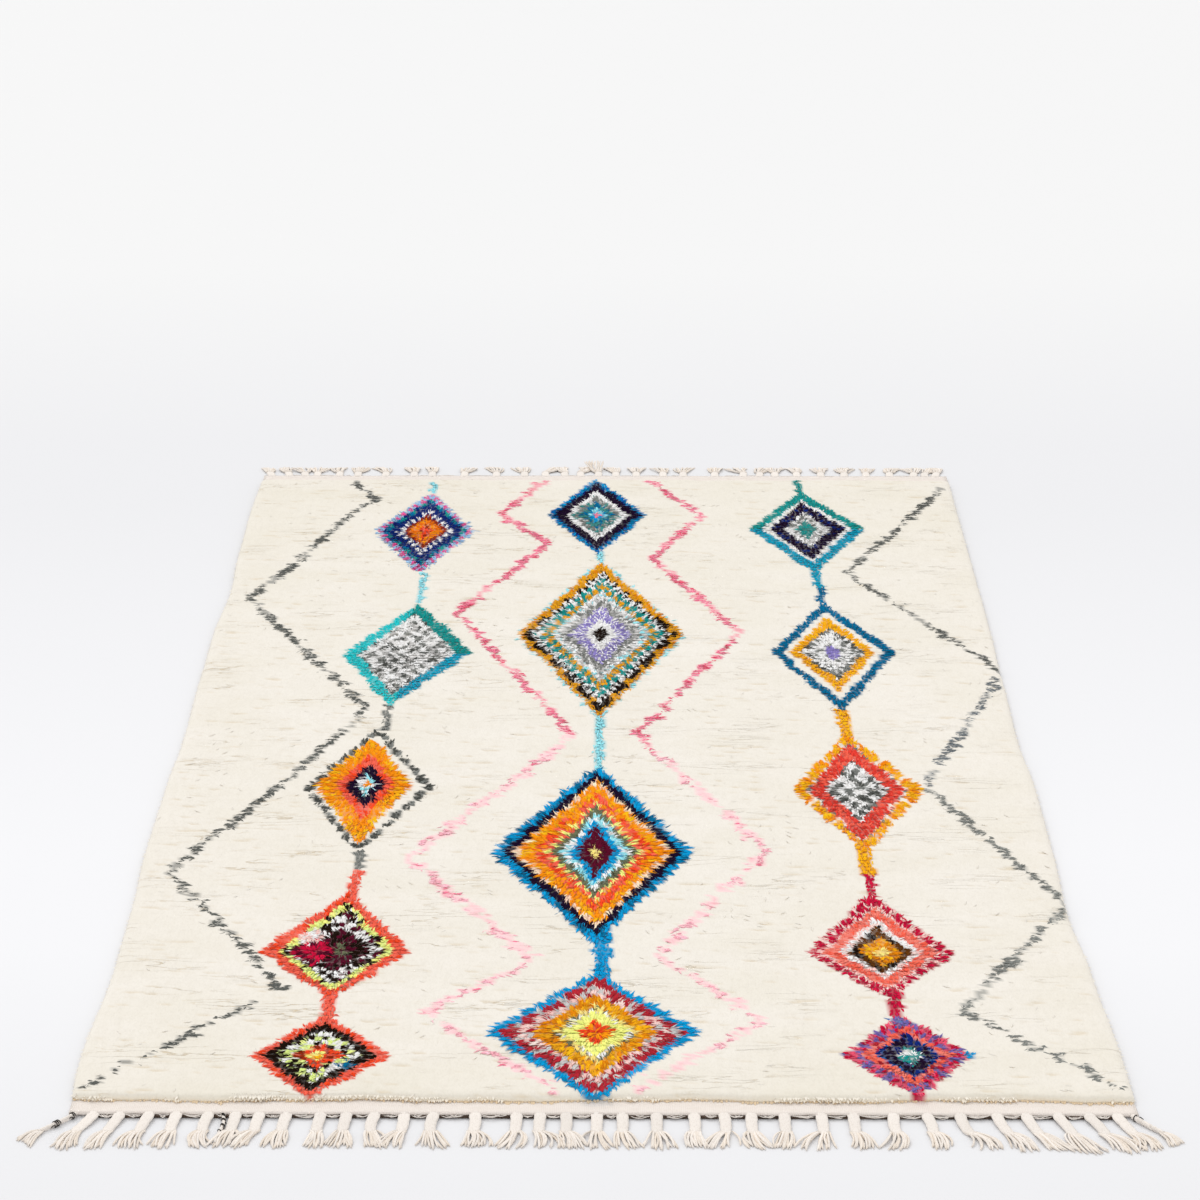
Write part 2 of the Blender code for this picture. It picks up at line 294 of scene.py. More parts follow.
# Of each lozenge: its left, right, top and bottom tip, the length of its locks, and its rings. Of each ring:
# its wools, its share of the width and of the height, and its run, which is how far one wool goes before the
# next takes over, or 0 where they mix knot by knot. Instead of a run, QUARTERS gives the upper left, upper
# right, lower left and lower right a wool each, and CHEQUER lays the first half of the wools and the second
# in alternate patches. A later figure lies over an earlier one.
QUARTERS, CHEQUER = -1, -2
CHEQUER_ACROSS = 0.020
CHEQUER_ALONG = 0.030
LOZENGES = (
    ((-0.620, 1.170), (-0.360, 1.170), (-0.487, 1.445), (-0.490, 0.890), 0.014, (
        ("cream mist cream", 1.07, 1.05, 0),
        ("magenta mist", 1.00, 1.00, 0.017),
        ("teal navy petrol", 0.87, 0.86, 0.019),
        ("navy", 0.75, 0.73, 0),
        ("white navy", 0.61, 0.58, 0.014),
        ("rust", 0.45, 0.43, 0),
        ("orange tangerine", 0.35, 0.33, 0),
        ("vermilion rust", 0.10, 0.22, 0),
    )),
    ((-0.640, 0.375), (-0.328, 0.388), (-0.477, 0.685), (-0.511, 0.090), 0.012, (
        ("turquoise teal turquoise cyan", 1.00, 1.00, QUARTERS),
        ("white white white charcoal grey silver", 0.76, 0.79, CHEQUER),
    )),
    ((-0.668, -0.330), (-0.383, -0.320), (-0.525, -0.030), (-0.525, -0.625), 0.014, (
        ("grey charcoal charcoal cream", 1.00, 1.00, 0.012),
        ("cream", 0.87, 0.90, 0),
    )),
    ((-0.641, -0.315), (-0.436, -0.305), (-0.533, -0.088), (-0.525, -0.582), 0.022, (
        ("amber orange", 1.00, 1.00, 0),
        ("orange", 0.74, 0.80, 0),
        ("coral vermilion", 0.62, 0.64, 0),
        ("plum", 0.40, 0.41, 0),
        ("white aqua", 0.20, 0.22, 0),
        ("orange", 0.09, 0.06, 0),
    )),
    ((-0.687, -1.030), (-0.386, -1.030), (-0.527, -0.800), (-0.530, -1.200), 0.014, (
        ("coral coral vermilion", 1.00, 1.00, 0),
        ("lemon lime lemon soot lime", 0.76, 0.86, 0.013),
        ("soot soot maroon white soot white", 0.64, 0.72, 0),
        ("maroon soot maroon", 0.42, 0.42, 0),
        ("olive maroon", 0.14, 0.14, 0),
    )),
    ((-0.625, -1.030), (-0.545, -1.030), (-0.570, -0.975), (-0.575, -1.085), 0.020, (
        ("crimson crimson maroon", 1.00, 1.00, 0),
    )),
    ((-0.622, -0.975), (-0.560, -0.980), (-0.585, -0.940), (-0.600, -1.010), 0.016, (
        ("white shell", 1.00, 1.00, 0),
    )),
    ((-0.660, -1.405), (-0.398, -1.405), (-0.533, -1.270), (-0.538, -1.542), 0.013, (
        ("coral coral vermilion", 1.00, 1.00, 0),
        ("soot", 0.82, 0.86, 0),
        ("lime white soot white lime soot", 0.62, 0.68, 0),
        ("vermilion rust", 0.36, 0.30, 0),
        ("lemon amber", 0.17, 0.13, 0),
    )),
    ((-0.500, -1.440), (-0.462, -1.440), (-0.481, -1.425), (-0.481, -1.455), 0.012, (
        ("petrol", 1.00, 1.00, 0),
    )),
    ((-0.154, 1.288), (0.109, 1.288), (-0.028, 1.555), (-0.022, 1.015), 0.018, (
        ("azure petrol sky", 1.00, 1.00, 0),
        ("petrol navy", 0.90, 0.92, 0),
        ("plum", 0.845, 0.870, 0),
        ("white", 0.63, 0.68, 0),
        ("grey seafoam silver", 0.52, 0.55, 0),
        ("petrol seafoam", 0.36, 0.38, 0),
        ("aqua sky", 0.17, 0.22, 0),
        ("rose", 0.07, 0.07, 0),
    )),
    ((-0.214, 0.497), (0.192, 0.500), (-0.010, 0.952), (-0.012, 0.032), 0.016, (
        ("cream cream cream aqua", 1.05, 1.04, 0),
        ("mustard mustard mustard gold", 1.00, 1.00, 0),
        ("soot soot soot mustard", 0.945, 0.955, 0.022),
    )),
    ((-0.214, 0.497), (0.192, 0.500), (-0.010, 0.952), (-0.011, 0.560), 0.016, (
        ("mustard mustard mustard gold", 1.00, 1.00, 0),
        ("mustard soot mustard", 0.905, 0.905, 0.022),
    )),
    ((-0.214, 0.497), (0.192, 0.500), (-0.010, 0.952), (-0.012, 0.032), 0.016, (
        ("white soot", 0.860, 0.860, 0.013),
        ("teal teal white", 0.785, 0.780, 0.013),
        ("mustard mustard teal", 0.705, 0.695, 0.012),
        ("white aqua white silver", 0.61, 0.60, 0),
        ("silver white grey", 0.52, 0.53, 0),
        ("grey grey silver", 0.43, 0.46, 0),
        ("lavender lavender white", 0.36, 0.39, 0.004),
        ("white", 0.19, 0.21, 0),
        ("soot", 0.10, 0.09, 0),
    )),
    ((-0.238, -0.620), (0.186, -0.620), (-0.016, -0.228), (-0.018, -0.990), 0.024, (
        ("sky petrol sky", 1.00, 1.00, 0),
        ("plum", 0.885, 0.925, 0),
        ("peach peach orange", 0.785, 0.845, 0.014),
        ("orange orange amber", 0.725, 0.790, 0),
        ("coral orange vermilion", 0.61, 0.68, 0),
        ("lemon coral", 0.48, 0.57, 0.014),
        ("olive", 0.41, 0.51, 0),
        ("white aqua", 0.34, 0.44, 0),
        ("sky", 0.25, 0.38, 0),
        ("maroon", 0.16, 0.31, 0),
        ("straw", 0.04, 0.07, 0),
    )),
    ((-0.220, -1.325), (0.178, -1.320), (-0.015, -1.115), (-0.012, -1.552), 0.021, (
        ("sky", 1.00, 1.00, 0),
        ("brick brick brick brick silver", 0.88, 0.90, 0.012),
        ("shell silver shell brick", 0.73, 0.77, 0),
        ("mustard gold amber", 0.59, 0.66, 0),
        ("olive straw", 0.41, 0.46, 0),
        ("white straw", 0.36, 0.40, 0),
        ("lemon", 0.32, 0.34, 0),
        ("vermilion orange", 0.16, 0.17, 0),
    )),
    ((0.395, 1.185), (0.702, 1.190), (0.545, 1.460), (0.548, 0.895), 0.014, (
        ("teal teal cyan cyan", 1.00, 1.00, QUARTERS),
        ("white cream", 0.79, 0.80, 0),
        ("plum plum plum plum navy", 0.66, 0.71, 0),
        ("white silver white grey", 0.40, 0.45, 0),
        ("teal seafoam", 0.17, 0.25, 0),
    )),
    ((0.411, 0.392), (0.711, 0.395), (0.558, 0.690), (0.560, 0.070), 0.015, (
        ("petrol", 1.00, 1.00, 0),
        ("cream", 0.85, 0.84, 0),
        ("amber", 0.66, 0.69, 0),
        ("grey charcoal white", 0.52, 0.50, 0),
        ("white white grey white", 0.40, 0.38, CHEQUER),
        ("lavender", 0.13, 0.15, 0),
    )),
    ((0.421, -0.335), (0.707, -0.335), (0.560, -0.055), (0.556, -0.625), 0.015, (
        ("amber amber orange amber amber orange cream", 1.00, 1.00, 0.013),
        ("cream", 0.80, 0.835, 0),
        ("cream grey shell", 0.77, 0.83, 0),
        ("scarlet scarlet coral", 0.74, 0.81, 0),
        ("white white charcoal grey", 0.49, 0.52, CHEQUER),
    )),
    ((0.404, -1.035), (0.697, -1.035), (0.552, -0.800), (0.553, -1.196), 0.013, (
        ("crimson crimson crimson shell", 1.00, 1.00, 0.0085),
        ("shell", 0.81, 0.81, 0),
        ("salmon coral", 0.77, 0.78, 0),
        ("shell white white", 0.56, 0.58, 0),
        ("umber soot umber", 0.43, 0.45, 0.020),
        ("gold amber", 0.29, 0.29, 0),
        ("straw", 0.11, 0.11, 0),
    )),
    ((0.446, -1.405), (0.686, -1.400), (0.572, -1.258), (0.578, -1.540), 0.012, (
        ("crimson pink pink violet", 1.00, 1.00, 0.014),
        ("violet pink violet crimson", 0.84, 0.84, 0.012),
        ("coral salmon coral brick", 0.70, 0.70, 0),
        ("azure navy", 0.52, 0.53, 0),
        ("plum navy plum", 0.46, 0.47, 0),
        ("seafoam white teal", 0.17, 0.24, 0),
    )),
    ((0.545, -1.285), (0.585, -1.285), (0.565, -1.260), (0.562, -1.315), 0.012, (
        ("azure violet", 1.00, 1.00, 0),
    )),
    ((0.668, -1.400), (0.702, -1.400), (0.685, -1.388), (0.685, -1.412), 0.010, (
        ("sky", 1.00, 1.00, 0),
    )),
)

STEMS = (
    (-0.485, 1.535, 1.445, 0.012, "aqua"),
    (-0.475, 0.885, 0.690, 0.014, "aqua"),
    (-0.510, 0.095, -0.035, 0.016, "grey"),
    (-0.520, -0.600, -0.700, 0.020, "grey"),
    (-0.518, -0.700, -0.810, 0.024, "coral"),
    (-0.530, -1.190, -1.280, 0.026, "coral"),
    (-0.015, 1.030, 0.950, 0.014, "aqua"),
    (-0.012, 0.035, -0.235, 0.018, "aqua"),
    (-0.002, -0.950, -1.140, 0.030, "sky"),
    (0.542, 1.570, 1.450, 0.018, "teal"),
    (0.551, 0.900, 0.790, 0.018, "cyan"),
    (0.555, 0.790, 0.690, 0.018, "petrol"),
    (0.557, 0.075, -0.075, 0.024, "amber"),
    (0.555, -0.595, -0.710, 0.026, "amber"),
    (0.556, -0.710, -0.810, 0.022, "crimson"),
    (0.564, -1.170, -1.265, 0.022, "crimson"),
)  # place across, top, bottom, width, wool

# Turning points from the far end, each with the line up to it: its wool, its half width in millimetres and
# the share of it that is knotted
ZIGZAGS = (
    ((-0.725, 1.557), (-0.641, 1.410, "ash", 7.5, 0.9), (-0.700, 1.300, "ash", 6.8, 0.9),
     (-0.798, 1.007, "ash", 6.9, 0.9), (-0.912, 0.720, "ash", 8.6, 0.9),
     (-0.559, 0.068, "ash", 8.0, 0.9), (-0.720, -0.310, "ash", 6.3, 0.8),
     (-0.915, -0.704, "ash", 7.8, 0.8), (-0.622, -1.174, "ash", 7.0, 0.7)),
    ((-0.673, -1.215), (-0.971, -1.526, "ash", 5.4, 0.72)),
    ((-0.172, 1.549), (-0.289, 1.296, "rose", 10.8, 1), (-0.152, 1.084, "rose", 10.2, 1),
     (-0.377, 0.632, "rose", 8.3, 1), (-0.072, -0.066, "rose", 6.6, 0.9),
     (-0.417, -0.645, "blush", 11.0, 0.95), (-0.138, -1.059, "blush", 10.8, 1),
     (-0.346, -1.254, "blush", 7.8, 0.95), (-0.082, -1.526, "blush", 7.2, 0.95)),
    ((0.123, 1.552), (0.263, 1.285, "rose", 8.0, 1), (0.123, 0.985, "rose", 8.0, 1),
     (0.339, 0.512, "rose", 8.8, 1), (0.075, -0.051, "rose", 6.6, 1), (0.118, -0.150, "rose", 10.0, 1),
     (0.346, -0.609, "blush", 9.8, 1), (0.104, -1.042, "blush", 9.8, 0.95),
     (0.307, -1.279, "blush", 8.0, 1), (0.053, -1.526, "blush", 8.6, 0.95)),
    ((0.955, 1.505), (0.632, 0.882, "ash", 7.2, 0.9), (0.965, 0.280, "ash", 6.8, 0.9),
     (0.713, -0.315, "slate", 7.9, 0.75), (0.955, -0.844, "grey", 7.2, 0.80),
     (0.684, -1.247, "grey", 7.0, 0.85), (0.958, -1.511, "grey", 5.5, 0.70)),
)
DASH_PITCH = 0.029
OUTLINE_SWAY = 0.0026
LINE_SWAY = 0.0042
STEM_SWAY = 0.4  # of a line's
STEM_LOCKS = 0.016
STEM_COMBED_FROM = 0.3  # above its top, so that its locks fall towards the near end
SIDE_COLUMNS_FROM = 0.3  # out from the rug's middle
GROUND, LEFT, CENTRE, RIGHT, LINES = range(5)  # what a knot belongs to


def inside(x, y, tips, across, along):
    """Whether each place lies in a lozenge shrunk about its middle by its own share each way."""
    left, right, top, bottom = (np.array(tip) for tip in tips)
    middle = np.array([(top[0] + bottom[0]) / 2, (left[1] + right[1]) / 2])
    corners = [
        middle + (left - middle) * across,
        middle + (bottom - middle) * along,
        middle + (right - middle) * across,
        middle + (top - middle) * along,
    ]
    within = np.ones(len(x), bool)
    for start, end in zip(corners, corners[1:] + corners[:1]):
        edge = end - start
        within &= edge[0] * (y - start[1]) - edge[1] * (x - start[0]) > 0
    return within


def column_at(place):
    """The column of figures at this place across."""
    if place < -SIDE_COLUMNS_FROM:
        return LEFT
    return RIGHT if place > SIDE_COLUMNS_FROM else CENTRE


def chart(x, y, pick):
    """For each place its wool, as a row of DYE_COLOURS, what it belongs to, and its figure's middle and the
    length of its locks. pick, from 0 to 1, decides between the wools that mix in a ring."""
    wools = np.zeros(len(x), int)
    groups = np.full(len(x), GROUND)
    figures = np.full((len(x), 3), np.nan)
    x = x + OUTLINE_SWAY * waves(x, y, 0.030, 0.022, 31)
    y = y + OUTLINE_SWAY * waves(x, y, 0.025, 0.030, 32)
    stray = LINE_SWAY * waves(x, y, 0.035, 0.020, 33)
    thickness = 0.001 * (1 + 0.34 * waves(x, y, 0.018, 0.018, 34))
    dashes = 0.30 * waves(x, y, 0.050, 0.050, 35)
    for line in ZIGZAGS:
        for start, (end_x, end_y, name, half_width, knotted) in zip(line, line[1:]):
            run = np.array([end_x - start[0], end_y - start[1]])
            long = np.hypot(*run)
            along = ((x - start[0]) * run[0] + (y - start[1]) * run[1]) / long
            off = np.abs(((x - start[0]) * run[1] - (y - start[1]) * run[0]) / long + stray)
            on = (off < thickness * half_width) & (along > 0) & (along < long)
            on &= (along / DASH_PITCH + dashes) % 1 < knotted
            wools[on] = DYE_NAMES.index(name)
            # A pink line has knots of stronger wools here and there
            if name == "blush":
                wools[on & (pick < 0.35)] = DYE_NAMES.index("petal")
                wools[on & (pick < 0.03)] = DYE_NAMES.index("rose")
            elif name == "rose":
                wools[on & (pick < 0.18)] = DYE_NAMES.index("pink")
            groups[on] = LINES
    for place, top, bottom, width, name in STEMS:
        on = (np.abs(x - place + STEM_SWAY * stray) < width / 2) & (y < top) & (y > bottom)
        wools[on] = DYE_NAMES.index(name)
        groups[on] = column_at(place)
        figures[on] = (place, top + STEM_COMBED_FROM, STEM_LOCKS)
    for left, right, top, bottom, long, rings in LOZENGES:
        tips = (left, right, top, bottom)
        middle = np.array([(top[0] + bottom[0]) / 2, (left[1] + right[1]) / 2])
        half = np.array([right[0] - left[0], top[1] - bottom[1]]) / 2
        for names, across, along, run in rings:
            on = np.flatnonzero(inside(x, y, tips, across, along))
            choices = np.array([DYE_NAMES.index(name) for name in names.split()])
            if run == QUARTERS:
                turn = 2 * (y[on] < middle[1]) + (x[on] > middle[0])
            elif run == CHEQUER:
                patch = np.floor(x[on] / CHEQUER_ACROSS + dashes[on]) + np.floor(y[on] / CHEQUER_ALONG)
                turn = np.floor((patch % 2 + pick[on]) * len(choices) / 2).astype(int)
            elif run:
                # The wools take turns from a side tip to the upper or lower one
                out = np.abs(x[on] - middle[0]) / half[0]
                up = np.abs(y[on] - middle[1]) / half[1]
                from_side = (1 + up - out) / 2
                turn = np.floor(from_side * np.hypot(*half) / run).astype(int) + (x[on] > middle[0])
            else:
                turn = np.floor(pick[on] * len(choices)).astype(int)
            wools[on] = choices[turn % len(choices)]
            groups[on] = column_at(top[0])
            figures[on] = (*middle, long)
    return wools, groups, figures


# --- Pile bed ---------------------------------------------------------------------------------------------
# The standing wool of the pile, packed so close that it reads as one soft surface: rounded over the sides
# and the ends, with shallow swellings, fine furrows where rows of knots part, and each knot's own colour.
PILE_SIDE = (
    (0.0085, None),
    (0.0078, 0.0004),
    (0.0016, 0.0050),
    (0.0005, 0.0095),
    (0.0040, 0.0140),
    (0.0130, 0.0166),
)  # in from the edge, height; None is BED_UNDER
PILE_LEVEL = 0.0172
FIGURE_LEVEL = 0.0163  # the bed is lower under the long tufts of the figures
BED_UNDER = BAND_THICK + 0.0006
BED_ENDS = ((0.0, 0.0), (0.0010, 0.45), (0.0040, 0.80), (0.0100, 0.96), (0.0170, 1.0))  # in, share of height
BED_ALONG = 0.0062
BED_ACROSS = 0.0118
END_WAVES = ((0.0030, 11.0, 0.4), (0.0018, 31.0, 2.1), (0.0010, 83.0, 0.9))  # swing, radians per metre, start
BED_WIDTH = 1.93
END_WAVES_REACH = 0.04  # in from each end
LIP_HANG = 0.014  # the bed's under side ends this much further in than its lip
FURROW_DEPTH = 0.0022
END_PAINTED_SHADE = ((-1.55, 1), (-1.30, 0), (0.40, 0), (1.40, 1))  # along the rug, how much painted shade deepens the cream
SHADED_FIGURE_BED = 0.85  # how strongly a wool colours the bed under a figure, where it is also darkened as painted shade between the locks, and under a line
DYED_LINE = 0.70
# The furrows' beige: partly the deeper wool's own colour, partly painted shade where the pile parts
FURROW_WOOL_AND_SHADE = linear(212, 192, 158)


def pile_wool():
    """Wool with fine fibre relief, slightly uneven in tone from painted shade where the relief sinks."""
    material, tree, shader, dye_and_painted_light, place = new_material("hand-spun wool", 1.0, 0.0)
    fibre = noise(tree, place, 420, (1, 0.35, 1), 3.0)
    shade = spread(tree, fibre, 0.3, 0.55, 0.09, 0.0)
    colour = tinted(tree, dye_and_painted_light.outputs["Color"], shade, (0.05, 0.04, 0.035))
    tree.links.new(colour, shader.inputs["Base Color"])
    raised(tree, shader, fibre, 0.0010)
    return material


def bed_wool():
    """The same wool where it stands as a ground, with thin furrows that wander across the rug."""
    material, tree, shader, dye_and_painted_light, place = new_material("undyed wool ground", 1.0, 0.25)
    fibre = noise(tree, place, 260, (1, 0.5, 1), 3.0)
    clump = noise(tree, place, 75, (1, 0.45, 1), 3.0)
    drift = noise(tree, place, 7, (0.8, 7, 1), 4.0)
    line = maths(tree, "ABSOLUTE", maths(tree, "SUBTRACT", drift, 0.5), 0.0)
    line = spread(tree, line, 0.0, 0.013, 1.0, 0.0)
    where = spread(tree, noise(tree, place, 4.5, (1, 2.6, 1), 2.0), 0.51, 0.65)
    furrow = maths(tree, "MULTIPLY", line, where)
    # The furrows are tinted beige, partly the deeper wool's own colour and partly painted shade, most
    # strongly on the left
    axes = tree.nodes.new("ShaderNodeSeparateXYZ")
    tree.links.new(place.outputs["Object"], axes.inputs["Vector"])
    deep = spread(tree, axes.outputs["X"], -0.60, 0.30, 1.0, 0.45)
    colour = tinted(tree, dye_and_painted_light.outputs["Color"], maths(tree, "MULTIPLY", furrow, deep), FURROW_WOOL_AND_SHADE)
    # Between the clumps and the fibres, where the bump sinks, painted shade makes the wool a little deeper
    colour = tinted(tree, colour, spread(tree, clump, 0.35, 0.60, 0.06, 0.0), (0.50, 0.43, 0.31))
    colour = tinted(tree, colour, spread(tree, fibre, 0.3, 0.55, 0.10, 0.0), (0.45, 0.40, 0.30))
    tree.links.new(colour, shader.inputs["Base Color"])
    height = maths(tree, "ADD", maths(tree, "MULTIPLY", fibre, 0.6), clump)
    height = maths(tree, "SUBTRACT", height, maths(tree, "MULTIPLY", furrow, 0.6))
    raised(tree, shader, height, 0.0014)
    return material


def end_wave(x):
    """How far the pile's wavy ends stand off the straight."""
    return sum(swing * np.sin(turns * x + start) for swing, turns, start in END_WAVES)


def bed_relief(x, y):
    """How far the wool stands above or below its level, and where it parts in a furrow, from 0 to 1."""
    swell = 0.0006 * waves(x, y, 0.16, 0.10, 21)
    clumps = 0.00035 * waves(x, y, 0.022, 0.012, 22, 48)
    furrow = np.clip(waves(x, y, 0.060, 0.0075, 23, 64) - 1.5, 0, 1.0)
    return swell + clumps, furrow


def pile_bed():
    """Skinned from the front lip to the back one, in rings across the rug."""
    rows = int((PILE_BACK - PILE_FRONT - 2 * BED_ENDS[-1][0]) / BED_ALONG)
    inner = np.linspace(PILE_FRONT + BED_ENDS[-1][0], PILE_BACK - BED_ENDS[-1][0], rows + 1)
    ys = [PILE_FRONT + inward for inward, _ in BED_ENDS[:-1]] + list(inner)
    ys += [PILE_BACK - inward for inward, _ in reversed(BED_ENDS[:-1])]
    shares = [share for _, share in BED_ENDS[:-1]] + [1.0] * len(inner)
    shares += [share for _, share in reversed(BED_ENDS[:-1])]
    across = int(BED_WIDTH / BED_ACROSS)
    rings = []
    for y, share in zip(ys, shares):
        left = float(between(SIDES, y, 1))
        right = float(between(SIDES, y, 2))
        inset = PILE_SIDE[-1][0]
        top_x = np.linspace(left + inset, right - inset, across + 1)
        side_x = np.array([point[0] for point in PILE_SIDE[:-1]])
        side_z = np.array([BED_UNDER if point[1] is None else point[1] for point in PILE_SIDE[:-1]])
        level = np.full(len(top_x), PILE_LEVEL)
        level[[0, -1]] = PILE_SIDE[-1][1]
        x = np.concatenate([left + side_x, top_x, (right - side_x)[::-1]])
        z = np.concatenate([side_z, level, side_z[::-1]])
        z = BED_UNDER + (z - BED_UNDER) * share
        ring_y = np.full(len(x), y)
        near_end = np.clip(1 - min(y - PILE_FRONT, PILE_BACK - y) / END_WAVES_REACH, 0, 1)
        ring_y += end_wave(x) * near_end
        shift = LIP_HANG * (1 - 2 * (y - PILE_FRONT) / (PILE_BACK - PILE_FRONT))
        ring_y[[0, -1]] = y + shift
        rings.append(np.column_stack([x, ring_y, z]))
    ring = len(rings[0])
    points = np.concatenate(rings)
    x, y = points[:, 0], points[:, 1]
    position = np.tile(np.arange(ring), len(rings))
    edge = len(PILE_SIDE)
    on_top = (position >= edge) & (position < ring - edge)
    raised_share = np.repeat(shares, ring) * on_top
    swell, furrow = bed_relief(x, y)
    wools, groups, _ = chart(x, y, np.random.default_rng(5).random(len(x)))
    dyed = (groups != GROUND) & (wools != UNDYED)
    figure = dyed & (groups != LINES)
    sunk = (PILE_LEVEL - FIGURE_LEVEL) * figure
    points[:, 2] += (swell - FURROW_DEPTH * furrow * ~dyed - sunk) * raised_share
    # Under a figure the bed is its wool darkened: painted shade seen between the locks
    strength = np.where(figure, SHADED_FIGURE_BED, DYED_LINE)[:, None]
    colours = DYE_COLOURS[wools] * strength + CREAM * (1 - strength) * ~figure[:, None]
    tone = 0.5 + 0.25 * waves(x, y, 0.25, 0.12, 24)
    # The wave part is the wool's own uneven tone; the rest is painted shade that deepens the cream towards
    # both ends
    tone = np.clip(tone, 0, 1) + 0.8 * np.interp(y, *zip(*END_PAINTED_SHADE))
    cream = CREAM * (1 - 0.035 * tone[:, None] * np.array([0.9, 1.0, 1.7]))
    # In the furrows the cream turns beige: partly deeper wool, partly painted shade
    cream += (FURROW_WOOL_AND_SHADE - cream) * (0.5 * np.clip(furrow, 0, 1) * on_top)[:, None]
    # Over the rounded lip at each end the cream is lightened to a warm pale tone: painted light on a face the
    # lamps reach less
    lip = np.clip(1 - np.repeat(shares, ring) / 0.8, 0, 1)[:, None]
    cream += (linear(244, 236, 218) - cream) * lip
    colours = np.where(dyed[:, None], colours, cream)
    start = np.arange(ring - 1)
    quads = []
    for row in range(len(rings) - 1):
        a = start + row * ring
        quads.append(np.column_stack([a + ring, a + ring + 1, a + 1, a]))
        here, beyond = row * ring, (row + 1) * ring
        quads.append(np.array([[here, here + ring - 1, beyond + ring - 1, beyond]]))
    quads = np.concatenate(quads)
    first = np.arange(ring)[None, :]
    last = first[:, ::-1] + (len(rings) - 1) * ring
    return add_piece("pile_bed", [(points, colours, [quads, first, last])], bed_wool(), "rug")


pile_bed()

# --- Tufts ------------------------------------------------------------------------------------------------
# Cut ends of the knots. In the figures they are long enough to show as separate locks, combed outward from
# the middle of each lozenge so that every outline is ragged. Undyed ends show as fine wisps on the ground,
# and close together along both sides and over the bands.
KNOT_ACROSS = 0.0125
KNOT_ALONG = 0.0150
KNOTS_INSET = 0.008
KNOT_OF_ONE_WOOL = 0.88  # share of the locks that have their knot's wool
LOCKS_A_KNOT = 12
LOCK_WIDTH = 0.0037
LOCK_ROOT = 0.0150
LOCK_TIP = 0.0183
LOCK_TONE = 1.07  # of its wool's colour, since locks shade each other
LOCK_PLUMP = 0.27  # how far a lock stands up in its middle, as a share of its width
LINE_ROOT = 0.0163  # the lines are cut flush with the ground
LINE_TIP = 0.0177
LINE_PLUMP = 0.12
LINE_LOCKS = 0.015
LINE_SHARE = 0.85  # of a line's locks that show
BEHIND = 0.40  # share of a lock's length that lies behind its knot
COMBED_NEAR = np.array([0, -0.22])  # every lock also leans towards the near end
GATHERED = 0.6  # how far a knot's locks draw together at their tips
WISP_SHARE = 0.03  # of the cream knots that show an end
WISP_ROOT = 0.0168
WISP_TIP = 0.0177
WISP_WIDTH = 0.0034
WISP_PLUMP = 0.15
SIDE_STEP = 0.0045
SIDE_WIDTH = 0.0048
SIDE_ROWS = ((0.010, 0.0150, 0.0105), (0.005, 0.0110, 0.0025))  # in from the side, height of roots, of tips
LIP_WIDTH = 0.0056
LIP_ROWS = (
    (0.010, 0.0160, 0.0120, 0.0110, (1.06, 1.05, 1.02), 0.55),
    (0.005, 0.0130, 0.0078, 0.0085, (1.06, 1.02, 0.95), 0.10),
    (0.004, 0.0085, 0.0052, 0.0070, (0.96, 0.80, 0.60), -4.0),
)  # in from the end, height of roots, of tips, length, tint (painted light on the upper rows of the lip, painted shade in the lowest row's tan), how bare: the lowest row has no gaps


def locks(roots, ways, reach, tip_height, width, colours, plump):
    """Closed slender locks: each starts at its root, swells and tapers over the way it was combed."""
    count = len(roots)
    ways = ways / np.linalg.norm(ways, axis=1, keepdims=True)
    ways = np.column_stack([ways, np.zeros(count)])
    sides = np.column_stack([-ways[:, 1], ways[:, 0], np.zeros(count)])
    up = np.array([0, 0, 1.0])
    rise = (tip_height - roots[:, 2])[:, None]
    belly = roots + ways * reach[:, None] * 0.45 + up * rise * 0.80
    tips = roots + ways * reach[:, None] + up * rise
    half = width[:, None] / 2
    lift = width[:, None] * plump * up
    points = np.stack([roots, belly - sides * half, belly + lift, belly + sides * half, tips], axis=1)
    first = np.arange(count)[:, None, None] * 5
    spindle = np.array([[0, 2, 1], [0, 3, 2], [0, 1, 3], [4, 1, 2], [4, 2, 3], [4, 3, 1]])
    faces = (first + spindle).reshape(-1, 3)
    # Painted shade darkens each lock's root and sides, and painted light brightens its tip
    depth = np.array([0.70, 0.96, 1.0, 0.96, 1.05])
    dye_and_painted_light = colours[:, None, :] * depth[None, :, None]
    return points.reshape(-1, 3), dye_and_painted_light.reshape(-1, 3), [faces]


draw = np.random.default_rng(7)
rows = []
for y in np.arange(PILE_FRONT + KNOTS_INSET, PILE_BACK - 0.006, KNOT_ALONG):
    left = float(between(SIDES, y, 1)) + KNOTS_INSET
    right = float(between(SIDES, y, 2)) - KNOTS_INSET
    number = int((right - left) / KNOT_ACROSS)
    x = left + (right - left) * (np.arange(number) + draw.uniform(0.2, 0.8)) / number
    rows.append(np.column_stack([x, np.full(number, y)]))
knots = np.concatenate(rows)
knots += draw.normal(0, 0.0010, knots.shape)
each = np.repeat(np.arange(len(knots)), LOCKS_A_KNOT)
spots = knots[each] + draw.uniform(-0.5, 0.5, (len(each), 2)) * (KNOT_ACROSS, KNOT_ALONG)
knot_pick = draw.random(len(knots))
knot_tone = draw.normal(0, 0.08, len(knots))
knot_lean = draw.normal(0, 0.28, (len(knots), 2))
knot_reach = draw.uniform(0.8, 1.3, len(knots))
own_wool = draw.random(len(each)) < KNOT_OF_ONE_WOOL
pick = np.where(own_wool, knot_pick[each], draw.random(len(each)))
wools, groups, figures = chart(spots[:, 0], spots[:, 1], pick)
wool = pile_wool()


